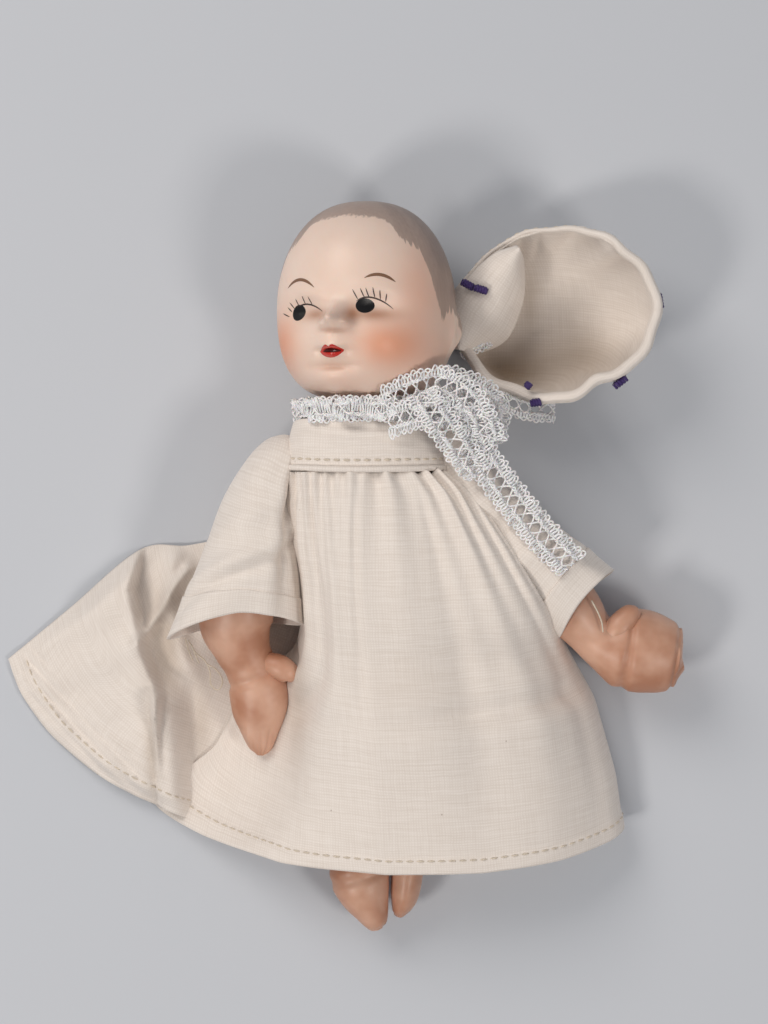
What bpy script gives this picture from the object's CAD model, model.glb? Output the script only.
"""Small jointed bisque baby doll in a calico dress, lying on its back with its bonnet beside its head."""
import math

import bmesh
import bpy
import numpy as np
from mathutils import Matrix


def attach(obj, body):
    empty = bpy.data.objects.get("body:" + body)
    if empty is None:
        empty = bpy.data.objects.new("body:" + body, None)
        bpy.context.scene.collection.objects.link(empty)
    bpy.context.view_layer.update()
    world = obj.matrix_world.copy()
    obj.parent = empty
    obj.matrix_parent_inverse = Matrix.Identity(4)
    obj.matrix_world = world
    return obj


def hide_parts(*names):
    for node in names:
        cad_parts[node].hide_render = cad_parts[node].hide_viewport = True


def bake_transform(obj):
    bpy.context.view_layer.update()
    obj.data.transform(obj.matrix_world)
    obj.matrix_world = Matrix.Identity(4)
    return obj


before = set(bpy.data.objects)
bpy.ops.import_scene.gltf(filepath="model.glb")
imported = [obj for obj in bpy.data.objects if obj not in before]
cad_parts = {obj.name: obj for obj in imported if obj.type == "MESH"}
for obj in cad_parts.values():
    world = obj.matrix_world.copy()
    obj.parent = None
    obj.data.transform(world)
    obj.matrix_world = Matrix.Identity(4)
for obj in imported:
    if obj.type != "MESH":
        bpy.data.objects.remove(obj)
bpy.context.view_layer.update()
MM = 0.001


# ---- Table, lamps and camera ----
# The doll lies on a pale matt table. Two soft lamps stand low, one at each side of its feet, and the
# camera looks straight down from above the chest.

def linear(code):
    """sRGB hex colour as linear RGBA: each channel c is c / 12.92 below 0.04045, else
    ((c + 0.055) / 1.055) ** 2.4."""
    parts = [int(code[i:i + 2], 16) / 255 for i in (1, 3, 5)]
    return [c / 12.92 if c < 0.04045 else ((c + 0.055) / 1.055) ** 2.4 for c in parts] + [1]


def add(tree, kind, settings=None, **links):
    """A node of that kind: settings are its own values, and each link is a socket or an input's value."""
    made = tree.nodes.new(kind)
    for name, value in (settings or {}).items():
        setattr(made, name, value)
    for name, value in links.items():
        place = made.inputs[int(name[1:])] if name[1:].isdigit() else made.inputs[name.replace("_", " ")]
        if isinstance(value, bpy.types.NodeSocket):
            tree.links.new(value, place)
        else:
            place.default_value = value
    return made


def new_material(name, **values):
    """A material with one shader, whose named inputs get the values given."""
    made = bpy.data.materials.new(name)
    made.use_nodes = True
    shader = made.node_tree.nodes["Principled BSDF"]
    for key, value in values.items():
        shader.inputs[key.replace("_", " ")].default_value = value
    return made, made.node_tree, shader


def bump(tree, shader, height, distance, strength=1.0):
    """Roughens the shader's surface by a height from 0 to 1 that stands for distance millimetres."""
    made = add(tree, "ShaderNodeBump", Strength=strength, Distance=distance * MM, Height=height)
    tree.links.new(made.outputs["Normal"], shader.inputs["Normal"])


TABLE = "#C9CDD4"
table_paint, tree, shader = new_material("matt_table", Base_Color=linear(TABLE), Roughness=0.75)
bpy.ops.mesh.primitive_plane_add(size=3)
table = bpy.context.object
table.name = "table"
table.data.materials.append(table_paint)

CAMERA_X = 8.5 * MM
CAMERA_Y = 11.3 * MM
VIEW_PLANE = 14 * MM
VIEW_DISTANCE = 600 * MM
VIEW_HEIGHT = 204.8 * MM

camera = bpy.data.objects.new("camera", bpy.data.cameras.new("camera"))
bpy.context.scene.collection.objects.link(camera)
camera.location = (CAMERA_X, CAMERA_Y, VIEW_PLANE + VIEW_DISTANCE)
camera.data.sensor_fit = "VERTICAL"
camera.data.sensor_height = 24
camera.data.lens = 24 * VIEW_DISTANCE / VIEW_HEIGHT
bpy.context.scene.camera = camera

# Each lamp: place in metres, size in metres, watts
LAMPS = {
    "lamp_left": ((-0.42, -0.34, 0.62), 0.16, 2.0),
    "lamp_right": ((0.44, -0.30, 0.62), 0.16, 1.55),
    "lamp_above": ((-0.42, 0.5, 0.6), 0.5, 3.5),
}
for name, (place, size, power) in LAMPS.items():
    lamp = bpy.data.objects.new(name, bpy.data.lights.new(name, "AREA"))
    bpy.context.scene.collection.objects.link(lamp)
    lamp.location = place
    lamp.data.size = size
    lamp.data.energy = power
    toward = np.array([0.005, 0, 0.01]) - np.array(place)
    lamp.rotation_euler = (math.atan2(math.hypot(*toward[:2]), -toward[2]), 0,
                           math.atan2(toward[1], toward[0]) - math.pi / 2)
    lamp.data.color = linear("#FFF8F0")[:3]

sky = bpy.data.worlds.new("soft_room")
bpy.context.scene.world = sky
sky.use_nodes = True
sky.node_tree.nodes["Background"].inputs["Color"].default_value = linear("#E8EDF5")
sky.node_tree.nodes["Background"].inputs["Strength"].default_value = 0.26
bpy.context.scene.view_settings.view_transform = "Standard"


# ---- Head ----
# Slip-cast bisque, fired matt and rubbed smooth, then china-painted: a wash of grey-brown hair, orange
# blush, fine lashes and glossy red lips. The neck stub is open below for the button and hook.

HEAD_X, HEAD_Z = 5.0, 18.4
HEAD_MID, HEAD_HALF, HEAD_R = 53.2, 19.65, 17.7
FACE_TURN = math.radians(18)
NECK_R, NECK_BORE, NECK_LOW = 6.4, 4.7, 28.6


def smooth(low, high, x):
    """0 below low, 1 above high, and 3t^2 - 2t^3 between, where t is how far x has gone from low to high."""
    t = np.clip((np.asarray(x, float) - low) / (high - low), 0, 1)
    return t * t * (3 - 2 * t)


def hill(u, v, at, wide, high):
    """A round hill: e^-(du^2 + dv^2), where du and dv are the distances from its top over its half widths."""
    return high * np.exp(-((u - at[0]) / wide[0]) ** 2 - ((v - at[1]) / wide[1]) ** 2)


def skull_radius(v):
    """Egg's radius at height v: r (sin(t)^2)^p (1 + 0.05 cos t), where the height is the middle less half
    cos t. The power p is 0.26 below the middle, for full cheeks, and 0.4 above it."""
    c = np.clip((HEAD_MID - v) / HEAD_HALF, -1, 1)
    return HEAD_R * (1 - c * c) ** np.where(c > 0, 0.26, 0.4) * (1 + 0.05 * c)


def face_relief(u, v):
    """How far the modelled features stand forward at (u, v): one hill or hollow for each."""
    forms = [
        # eye sockets, lids and brow
        ((-7.2, 50.4), (3.4, 2.3), -1.5), ((7.2, 51.2), (3.4, 2.3), -1.5),
        ((-6.8, 53.8), (4.2, 1.7), 0.35), ((7.2, 54.6), (4.2, 1.7), 0.35),
        ((0.6, 63), (10, 7), 0.9), ((0, 52.6), (2.0, 2.4), -0.5),
        # nose: bridge, button and wings
        ((0, 50.4), (1.4, 2.2), 1.2), ((-0.2, 48.5), (1.9, 1.7), 5.2),
        ((-2.8, 47.6), (1.1, 1.0), 1.9), ((2.4, 47.8), (1.1, 1.0), 1.9), ((-0.4, 46.3), (2.2, 0.45), -0.7),
        # upper lip, lips, mouth line, the dent below and the chin
        ((-0.9, 44.6), (4.0, 2.4), 1.9), ((-0.8, 45.3), (0.5, 0.9), -0.25),
        ((-1.3, 43.4), (2.3, 0.6), 0.75), ((-1.3, 41.7), (1.8, 0.7), 0.85), ((-1.3, 42.5), (2.4, 0.28), -0.8),
        ((-4.3, 42.4), (0.7, 0.9), -0.4), ((1.7, 42.6), (0.7, 0.9), -0.4),
        ((-1.8, 39.6), (4.0, 0.8), -1.0), ((-2.2, 37.0), (4.4, 2.3), 1.9),
        # cheeks
        ((8.6, 43.6), (5.6, 5.2), 1.3), ((-11, 43.2), (5.6, 5.2), 1.3),
    ]
    return sum(hill(u, v, at, wide, high) for at, wide, high in forms)


def face_point(a, v, radius=None, lift=0.0):
    """Point of the head at angle a from the face and height v: the egg, pushed forward by the relief in front
    and outward by the small ears at the sides, then turned with the face."""
    r = skull_radius(v) if radius is None else radius
    u, w = r * np.sin(a), r * np.cos(a)
    front = smooth(0.0, 0.55, np.cos(a))
    side = np.abs(a) - math.radians(97)
    ear = hill(side * 17, v, (0, 46.8), (2.2, 3.4), 2.2) - hill(side * 17, v, (-0.5, 47.0), (1.0, 1.9), 1.3)
    w = w + front * face_relief(u, v)
    grow = 1 + (ear + lift) / np.maximum(r, 4)
    u, w = u * grow, w * grow
    x = HEAD_X + u * math.cos(FACE_TURN) - w * math.sin(FACE_TURN)
    z = HEAD_Z + u * math.sin(FACE_TURN) + w * math.cos(FACE_TURN)
    return np.stack([x, v + 0 * x, z], -1)


def grid_faces(rows, columns, around):
    """Quads between neighbouring rows of points, the last column joined to the first where it goes around."""
    i, k = np.meshgrid(np.arange(rows - 1), np.arange(columns if around else columns - 1), indexing="ij")
    a, b = (i * columns + k).ravel(), (i * columns + (k + 1) % columns).ravel()
    return np.stack([a, b, b + columns, a + columns], -1)


def make_mesh(name, points, faces, paint, body, uv=None, outward=False):
    """A piece from points in millimetres. uv holds the flat place of each point, in centimetres of cloth."""
    mesh = bpy.data.meshes.new(name)
    mesh.from_pydata((np.asarray(points, float) * MM).tolist(), [], [list(map(int, f)) for f in faces])
    if uv is not None:
        corners = np.zeros(len(mesh.loops), np.int32)
        mesh.loops.foreach_get("vertex_index", corners)
        layer = mesh.uv_layers.new(name="cloth")
        layer.data.foreach_set("uv", np.asarray(uv, float)[corners].ravel())
    if outward:
        work = bmesh.new()
        work.from_mesh(mesh)
        bmesh.ops.recalc_face_normals(work, faces=work.faces)
        work.to_mesh(mesh)
        work.free()
    mesh.shade_smooth()
    piece = bpy.data.objects.new(name, mesh)
    bpy.context.scene.collection.objects.link(piece)
    mesh.materials.append(paint)
    if body:
        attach(piece, body)
    return piece


def skin(name, grid, paint, body, uv=None):
    """Closed tube from rows of rings, each end closed by a point in the middle of its ring."""
    rows, columns, _ = grid.shape
    points = np.concatenate([grid.reshape(-1, 3), grid[:1].mean(1), grid[-1:].mean(1)])
    faces = grid_faces(rows, columns, True).tolist()
    first, last = rows * columns, rows * columns + 1
    for k in range(columns):
        faces.append([first, (k + 1) % columns, k])
        faces.append([last, first - columns + k, first - columns + (k + 1) % columns])
    return make_mesh(name, points, faces, paint, body, uv, outward=True)


# Bisque has an unglazed eggshell finish: soft light bleeds a little below a fine even grain.
SKIN, SKIN_DEEP, BLUSH, SHADE = "#F0D8C9", "#D9A687", "#E58A58", "#A9704E"


def painted_bisque(name, base, deep, mottled=0.0):
    """Matt bisque whose tint drifts between two colours over about 9 mm, with a 0.3 mm grain."""
    made, tree, shader = new_material(name, Roughness=0.42, IOR=1.5, Subsurface_Weight=0.12,
                                      Subsurface_Scale=0.0012)
    shader.inputs["Subsurface Radius"].default_value = (1.0, 0.45, 0.25)
    place = add(tree, "ShaderNodeTexCoord")
    drift = add(tree, "ShaderNodeTexNoise", Vector=place.outputs["Object"], Scale=1 / (9 * MM), Detail=3.0)
    grain = add(tree, "ShaderNodeTexNoise", Vector=place.outputs["Object"], Scale=1 / (0.3 * MM), Detail=2.0)
    spread = add(tree, "ShaderNodeMapRange", Value=drift.outputs["Fac"], From_Min=0.35, From_Max=0.65,
                 To_Max=mottled)
    tint = add(tree, "ShaderNodeMix", {"data_type": "RGBA"}, _0=spread.outputs["Result"], _6=linear(base),
               _7=linear(deep))
    bump(tree, shader, grain.outputs["Fac"], 0.03, 0.35)
    return made, tree, shader, tint.outputs[2]


def hairline(a):
    """Height of the painted hair's edge at angle a: level over the brow, stepped at the temple, a sideburn
    before the ear, then down behind the ear to the nape, with fine brush notches."""
    side = np.degrees(np.abs(a))
    edge = np.interp(side, [0, 30, 41, 46, 60, 65, 71, 76, 84, 92, 108, 180],
                     [69.2, 68.6, 67.4, 64.4, 62.4, 57.5, 51.5, 48.8, 50.8, 50.6, 41.5, 37.5])
    notch = 0.55 * np.sin(side * 1.9) * np.sin(side * 0.63 + 1) + 0.3 * np.sin(side * 4.3 + 0.7)
    return edge + notch * smooth(36, 46, side)


turns = np.linspace(-math.pi, math.pi, 330, endpoint=False)
dome_t = np.linspace(math.radians(12), math.radians(179.2), 226)
bore = [(0.3, 39.2), (3.2, 39.1), (4.6, 38.9), (NECK_BORE, 38.2), (NECK_BORE, 33), (NECK_BORE, NECK_LOW)]
stub = [(5.4, NECK_LOW - 0.1), (6.2, NECK_LOW), (NECK_R, NECK_LOW + 0.4), (NECK_R, 31), (NECK_R, 33),
        (6.5, 34)]
heads = [(r, v) for r, v in bore + stub]
heads += [(None, HEAD_MID - HEAD_HALF * math.cos(t)) for t in dome_t]
rings = [face_point(turns, v, r) if r is None else np.stack(
    [HEAD_X + r * np.sin(turns), 0 * turns + v, HEAD_Z + r * np.cos(turns)], -1) for r, v in heads]
hair_paint, tree, shader, tint = painted_bisque("painted_bisque_head", SKIN, SKIN_DEEP, 0.12)
head_skin = skin("head_bisque", np.array(rings), hair_paint, "head")
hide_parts("head")

# Depth inside the hairline in millimetres, the blush and the brown shading, kept at each point
grid_a = np.concatenate([np.tile(turns, len(heads)), [0, 0]])
grid_v = np.concatenate([np.repeat([v for _, v in heads], len(turns)), [39, 73]])
grid_u = skull_radius(grid_v) * np.sin(grid_a)
front = (np.cos(grid_a) > 0).astype(float)
painted = {
    "hair": (grid_v - hairline(grid_a)) * np.interp(np.abs(np.degrees(grid_a)), [58, 64, 72, 80, 95],
                                                    [0.8, 0.35, 0.35, 0.7, 0.7]),
    "blush": front * (hill(grid_u, grid_v, (9.4, 43.4), (5.6, 4.6), 1.15)
                      + hill(grid_u, grid_v, (-13.8, 44), (4.4, 5.4), 1.15)
                      + hill(grid_u, grid_v, (14.2, 54), (3.4, 9), 0.55)
                      + hill(grid_u, grid_v, (-1, 36.5), (6, 2), 0.25)),
    "shade": front * (hill(grid_u, grid_v, (-4.8, 49.6), (3.0, 1.2), 0.7)
                      + hill(grid_u, grid_v, (7.0, 49.4), (4.2, 1.3), 0.7)
                      + hill(grid_u, grid_v, (-0.6, 46.3), (2.6, 0.5), 0.5)
                      + hill(grid_u, grid_v, (-2, 39.5), (3.8, 0.7), 0.45)
                      + hill(grid_u, grid_v, (2.9, 49.8), (1.3, 2.4), 0.6)),
}
for name, values in painted.items():
    layer = head_skin.data.attributes.new(name, "FLOAT", "POINT")
    layer.data.foreach_set("value", values.astype(np.float32))

place = add(tree, "ShaderNodeTexCoord")
along = add(tree, "ShaderNodeMapping", Vector=place.outputs["Object"], Scale=(1.0, 0.22, 1.0))
streaks = add(tree, "ShaderNodeTexNoise", Vector=along.outputs["Vector"], Scale=1 / (0.7 * MM), Detail=4.0)
hair = add(tree, "ShaderNodeAttribute", {"attribute_name": "hair"})
ragged = add(tree, "ShaderNodeMath", {"operation": "MULTIPLY_ADD"}, _0=streaks.outputs["Fac"], _1=1.5,
             _2=hair.outputs["Fac"])
coverage = add(tree, "ShaderNodeMapRange", Value=ragged.outputs["Value"], From_Min=0.55, From_Max=0.95)
thin = add(tree, "ShaderNodeMapRange", Value=hair.outputs["Fac"], From_Min=0.0, From_Max=7.0, To_Min=0.72,
           To_Max=0.95)
washed = add(tree, "ShaderNodeMath", {"operation": "MULTIPLY"}, _0=coverage.outputs["Result"],
             _1=thin.outputs["Result"])
tones = add(tree, "ShaderNodeMix", {"data_type": "RGBA"}, _0=streaks.outputs["Fac"], _6=linear("#84716A"),
            _7=linear("#A08D82"))
blush = add(tree, "ShaderNodeAttribute", {"attribute_name": "blush"})
softened = add(tree, "ShaderNodeMath", {"operation": "MULTIPLY"}, _0=blush.outputs["Fac"], _1=0.62)
rouged = add(tree, "ShaderNodeMix", {"data_type": "RGBA"}, _0=softened.outputs["Value"], _6=tint,
             _7=linear(BLUSH))
shade = add(tree, "ShaderNodeAttribute", {"attribute_name": "shade"})
shaded = add(tree, "ShaderNodeMix", {"data_type": "RGBA"}, _0=shade.outputs["Fac"], _6=rouged.outputs[2],
             _7=linear(SHADE))
whole = add(tree, "ShaderNodeMix", {"data_type": "RGBA"}, _0=washed.outputs["Value"], _6=shaded.outputs[2],
            _7=tones.outputs[2])
tree.links.new(whole.outputs[2], shader.inputs["Base Color"])


def brush_stroke(points, width, taper=0.9, lift=0.05, steps=14):
    """A thin painted line: a ribbon on the face through points given as (u, v), its half width falling off
    towards both ends as 1 - |2s - 1|^3."""
    points = np.asarray(points, float)
    s = np.linspace(0, 1, len(points))
    fine = np.linspace(0, 1, steps)
    bend = np.polyfit(s, points, min(2, len(points) - 1))
    u, v = np.polyval(bend[:, 0], fine), np.polyval(bend[:, 1], fine)
    du, dv = np.gradient(u), np.gradient(v)
    size = np.hypot(du, dv)
    half = 0.5 * width * (1 - taper * np.abs(2 * fine - 1) ** 3)
    rows = []
    for across, up in ((-1, 0.6), (-0.5, 1), (0.5, 1), (1, 0.6)):
        uu, vv = u - across * half * dv / size, v + across * half * du / size
        angle = np.arcsin(np.clip(uu / skull_radius(vv), -1, 1))
        rows.append(face_point(angle, vv, None, lift * up))
    return np.stack(rows, 1)


def ribbons(name, grids, paint, body):
    """One piece from many grids of points."""
    points, faces, start = [], [], 0
    for grid in grids:
        rows, columns, _ = grid.shape
        points.append(grid.reshape(-1, 3))
        faces.append(grid_faces(rows, columns, False) + start)
        start += rows * columns
    return make_mesh(name, np.concatenate(points), np.concatenate(faces).tolist(), paint, body)


# ---- Painted features ----
# China paint laid on with a fine brush and fired: soft brown brows, near-black lashes and pupils that
# glance to the doll's right, and red lips with a glossy glaze.

BROWS = [[(-11.8, 55.0), (-10.2, 56.2), (-8.6, 56.5), (-6.6, 56.0), (-5.0, 54.8)],
         [(5.2, 56.4), (6.6, 57.0), (7.9, 57.1), (9.3, 56.6), (10.6, 55.7)]]
LIDS = [[(-9.6, 51.0), (-8.2, 51.7), (-6.6, 51.6), (-5.0, 51.1), (-3.2, 50.1)],
        [(3.6, 52.0), (5.0, 52.6), (6.6, 52.6), (8.2, 52.0), (10.2, 50.4)]]
LASHES = [[(-11.2, 49.4), (-13.2, 50.2)], [(-10.6, 50.3), (-11.8, 51.3)], [(-10.0, 50.9), (-11.2, 52.2)],
          [(-9.0, 51.4), (-9.6, 52.8)], [(-7.4, 51.7), (-7.9, 53.3)], [(-5.7, 51.4), (-6.5, 53.1)],
          [(3.9, 52.3), (3.0, 54.2)], [(5.1, 52.6), (4.5, 54.4)], [(5.9, 52.6), (5.5, 54.5)],
          [(6.9, 52.6), (6.8, 54.6)], [(7.8, 52.3), (8.0, 54.1)], [(8.7, 51.9), (9.1, 53.4)]]

brow_paint, tree, shader = new_material("fired_brown_paint", Base_Color=linear("#805F49"), Roughness=0.5)
lash_paint, tree, shader = new_material("fired_black_paint", Base_Color=linear("#40302A"), Roughness=0.45)
pupil_paint, tree, shader = new_material("fired_pupil_paint", Base_Color=linear("#0D0B0C"), Roughness=0.35)

strokes = {
    "painted_brows": ([brush_stroke(b, 0.62) for b in BROWS], brow_paint),
    "painted_lids": ([brush_stroke(b, 0.30, 0.8) for b in LIDS], lash_paint),
    "painted_lashes": ([brush_stroke(b, 0.22, 0.8, steps=6) for b in LASHES], lash_paint),
}
for name, (grids, paint) in strokes.items():
    made = ribbons(name, grids, paint, "head")


def dot(middle, wide, high, lean, lift=0.06):
    """A painted oval on the face: rings of (u, v) about its middle, leaned over by an angle."""
    ring = np.linspace(0, 2 * math.pi, 33)
    rows = []
    for size in (0.001, 0.5, 0.9, 1.0):
        du, dv = size * wide * np.cos(ring), size * high * np.sin(ring)
        u = middle[0] + du * math.cos(lean) - dv * math.sin(lean)
        v = middle[1] + du * math.sin(lean) + dv * math.cos(lean)
        angle = np.arcsin(np.clip(u / skull_radius(v), -1, 1))
        rows.append(face_point(angle, v, None, lift * (1.02 - 0.8 * size ** 6)))
    return np.stack(rows, 0)


pupils = ribbons("painted_pupils", [dot((-9.0, 50.1), 1.42, 1.62, -0.5), dot((5.1, 51.1), 1.62, 1.42, 0)],
                 pupil_paint, "head")

# The lips: a cupid's bow above, a fuller curve below, meeting at the mouth line
across = np.linspace(-1, 1, 41)
mouth = np.array([-1.4, 42.5])
upper = 1.35 * (1 - np.abs(across) ** 1.5) * (1 - 0.45 * np.exp(-(across / 0.17) ** 2))
lower = -1.35 * (1 - across ** 2) ** 0.8
lip_rows = []
for share in np.linspace(0, 1, 13):
    v = mouth[1] + lower + (upper - lower) * share + 0.12 * across
    u = mouth[0] + 2.6 * across
    angle = np.arcsin(np.clip(u / skull_radius(v), -1, 1))
    lip_rows.append(face_point(angle, v, None, 0.05 + 0.03 * math.sin(math.pi * share)))
lip_paint, tree, shader = new_material(
    "glazed_red_paint", Base_Color=linear("#C62A1E"), Roughness=0.18, Coat_Weight=0.7, Coat_Roughness=0.08)
lips = ribbons("painted_lips", [np.array(lip_rows)], lip_paint, "head")
gap_line = [brush_stroke([(-3.2, 42.3), (-1.4, 42.55), (0.6, 42.4)], 0.75, 0.9, 0.13)]
ribbons("painted_mouth_line", gap_line, new_material(
    "fired_dark_red_paint", Base_Color=linear("#4A100C"), Roughness=0.2)[0], "head")


# ---- Trunk, button, hooks and stringing ----
# The trunk is the same matt bisque, cast hollow. A turned beech button sits in the neck, and elastic cords
# loop between hooks of drawn steel wire.

body_bisque, tree, shader, tint = painted_bisque("rubbed_bisque", "#D6AA92", "#AE7456", 0.8)
tree.links.new(tint, shader.inputs["Base Color"])
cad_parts["torso"].data.materials.clear()
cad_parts["torso"].data.materials.append(body_bisque)

# Turned beech shows growth lines about 0.8 mm apart, crossed by short dark pores.
beech, tree, shader = new_material("turned_beech", Roughness=0.6)
place = add(tree, "ShaderNodeTexCoord")
rings_of_growth = add(tree, "ShaderNodeTexWave", {"bands_direction": "X"}, Vector=place.outputs["Object"],
                      Scale=1 / (5 * MM), Distortion=2.5, Detail=3.0)
tint = add(tree, "ShaderNodeMix", {"data_type": "RGBA"}, _0=rings_of_growth.outputs["Fac"],
           _6=linear("#B98A58"), _7=linear("#CFA574"))
tree.links.new(tint.outputs[2], shader.inputs["Base Color"])
bump(tree, shader, rings_of_growth.outputs["Fac"], 0.03)

# Drawn steel wire is bright, with fine lengthwise scratches.
wire, tree, shader = new_material("drawn_steel_wire", Base_Color=linear("#B9B7B2"), Metallic=1.0,
                                  Roughness=0.32)
place = add(tree, "ShaderNodeTexCoord")
scratches = add(tree, "ShaderNodeTexNoise", Vector=place.outputs["Object"], Scale=1 / (0.25 * MM), Detail=2.0)
bump(tree, shader, scratches.outputs["Fac"], 0.01, 0.5)

# Covered elastic is a knitted cotton tube over rubber, with ribs 0.5 mm apart.
elastic, tree, shader = new_material("covered_elastic", Base_Color=linear("#E4DFD2"), Roughness=0.85)
place = add(tree, "ShaderNodeTexCoord")
ribs = add(tree, "ShaderNodeTexWave", {"bands_direction": "DIAGONAL"}, Vector=place.outputs["Object"],
           Scale=1 / (3 * MM))
bump(tree, shader, ribs.outputs["Fac"], 0.12)

for finish, nodes in ((beech, ["neck_button"]), (elastic, ["neck_elastic", "arm_elastic", "leg_elastic"]),
                      (wire, ["neck_hook", "arm_hook_right", "arm_hook_left", "leg_hook_right",
                              "leg_hook_left"])):
    for node_name in nodes:
        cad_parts[node_name].data.materials.clear()
        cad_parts[node_name].data.materials.append(finish)


# ---- Arms ----
# Each arm is one bisque casting: the right hand an open mitten beside the skirt, the left a plump closed
# fist. The inner side is a flat round hub that turns on the shoulder boss.

HUB_X, HUB_DEPTH = 13.3, 5.4
SHOULDER_Y, SHOULDER_Z, DOLL_X = 17.0, 14.0, 5.0


def through(rows, each):
    """Smooth rows through given rows: Catmull and Rom's cubic between b and c, in that many steps each."""
    p = np.asarray(rows, float)
    p = np.vstack([2 * p[0] - p[1], p, 2 * p[-1] - p[-2]])
    t = np.linspace(0, 1, each, endpoint=False)[:, None, None]
    a, b, c, d = p[:-3], p[1:-2], p[2:-1], p[3:]
    cubic = 0.5 * (2 * b + (c - a) * t + (2 * a - 5 * b + 4 * c - d) * t ** 2
                   + (3 * b - a - 3 * c + d) * t ** 3)
    return np.vstack([cubic.transpose(1, 0, 2).reshape(-1, p.shape[1]), p[-2:-1]])


def oval_rings(stations, each=8, sides=64, shape=None):
    """Rings across a path of [x, y, z, half width, half height]: an oval of width cos(k) and height sin(k),
    with shape(s, k) added to its radius, where s runs from 0 to 1 along the path."""
    rows = through(stations, each)
    middle, wide, high = rows[:, :3], np.maximum(rows[:, 3], 0.05), np.maximum(rows[:, 4], 0.05)
    ahead = np.gradient(middle, axis=0)
    ahead /= np.linalg.norm(ahead, axis=1)[:, None]
    side = np.cross(ahead, [0, 0, 1])
    side /= np.linalg.norm(side, axis=1)[:, None]
    up = np.cross(side, ahead)
    k = np.linspace(0, 2 * math.pi, sides, endpoint=False)[None, :]
    s = np.linspace(0, 1, len(rows))[:, None]
    extra = shape(s, k) if shape else 0 * s * k
    across, rise = (wide[:, None] + extra) * np.cos(k), (high[:, None] + extra) * np.sin(k)
    return middle[:, None] + side[:, None] * across[..., None] + up[:, None] * rise[..., None]


def ridge(x, at, wide):
    """A rounded ridge across a line: e^-((x - at) / wide)^2."""
    return np.exp(-((x - at) / wide) ** 2)


def wrapped(k, at):
    """Angle from at to k, the short way round."""
    return np.angle(np.exp(1j * (k - at)))


def hub(side, face, depth, y, z, radius):
    """Flat round boss with a softened edge, its face towards the doll's middle."""
    k = np.linspace(0, 2 * math.pi, 48, endpoint=False)
    rows = []
    for step, r in ((0, 0.7), (0, 0.94), (0.12, 0.99), (0.4, 1), (1, 1)):
        x = DOLL_X + side * (face + depth * step)
        rows.append(np.stack([x + 0 * k, y + radius * r * np.cos(k), z + radius * r * np.sin(k)], -1))
    return np.array(rows)


def casting(name, parts, finish, body, node_name):
    """One bisque piece from closed tubes that run into each other."""
    pieces = [skin(name if i == 0 else f"{name}_{i}", grid, finish, None) for i, grid in enumerate(parts)]
    with bpy.context.temp_override(active_object=pieces[0], selected_editable_objects=pieces):
        bpy.ops.object.join()
    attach(pieces[0], body)
    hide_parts(node_name)
    return pieces[0]


def open_hand(s, k):
    """Creases of the right arm: one at the wrist, and shallow lines between the fingers on the upper side."""
    top = smooth(-0.2, 0.6, np.sin(k))
    fingers = smooth(0.78, 0.88, s) * top
    lines = sum(ridge(wrapped(k, math.radians(at)), 0, 0.10) for at in (66, 96, 122))
    index = 0.7 * ridge(s, 0.86, 0.05) * ridge(wrapped(k, math.radians(60)), 0, 0.35)
    return -0.28 * fingers * lines + index - 0.5 * ridge(s, 0.655, 0.016) * (0.6 + 0.4 * np.sin(k))


def closed_fist(s, k):
    """Creases of the left arm: a deep one at the wrist, and four finger folds round the end of the fist."""
    fingers = smooth(0.86, 0.9, s) * (1 - smooth(0.97, 1.0, s))
    folds = sum(ridge(wrapped(k, math.radians(at)), 0, 0.09) for at in (-60, -22, 16, 52, 118, 150, 190))
    knuckles = 0.5 * ridge(s, 0.90, 0.018) * (0.5 + 0.5 * np.cos(4 * k))
    return -0.6 * fingers * folds + knuckles - 0.6 * ridge(s, 0.665, 0.014) - 0.45 * ridge(s, 0.865, 0.012)


right_arm = [
    [-15.2, 22.8, 14, 1.4, 1.6], [-15.2, 21.4, 14, 3.8, 4.2], [-15.2, 17, 14, 5.3, 5.6],
             [-15.6, 11, 14, 5.5, 6],
    [-17.4, 3, 13.4, 6, 6.2], [-20.2, -6, 12.4, 7, 6.8], [-21.2, -11, 11.6, 7.4, 6.6],
             [-20.0, -16, 10.8, 5.8, 5.4],
    [-18.4, -19.6, 10.2, 5.2, 4.6], [-16.8, -24, 9.6, 6.0, 4.8], [-16.6, -29, 9, 5.5, 4.2],
             [-16.5, -33, 8.4, 3.9, 3.2],
    [-16.4, -36.4, 8, 2.3, 2.0], [-16.5, -37.8, 7.9, 0.7, 0.8],
]
right_thumb = [[-16.5, -19.0, 11.0, 1.6, 1.6], [-14.2, -19.2, 12.2, 2.3, 2.1], [-12.0, -20.0, 12.8, 2.5, 2.2],
               [-10.3, -21.4, 12.6, 2.1, 1.9], [-9.9, -22.4, 12.2, 0.9, 0.9]]
left_arm = [
    [25, 21.8, 14, 1.2, 1.4], [25.4, 20.6, 14, 3.2, 4], [26, 16.8, 14.2, 4.6, 5.4], [28.6, 12, 14.2, 5.4, 6],
    [34.2, 5.4, 14, 5.8, 6], [41.2, -1.8, 13.4, 6.2, 6.4], [46.4, -8.4, 12.8, 5.9, 6.2],
            [49.8, -12.6, 12.3, 4.9, 5.2],
    [52.4, -14.8, 12, 5.4, 5.6], [56, -16.0, 11.8, 7.9, 6.6], [60, -16.6, 11.7, 8.4, 6.9],
            [64, -17.4, 11.6, 7.7, 6.4],
    [66.6, -17.8, 11.6, 6.6, 5.4], [68.0, -18, 11.6, 4.2, 3.2], [68.3, -18, 11.6, 1.2, 1.2],
]
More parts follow.
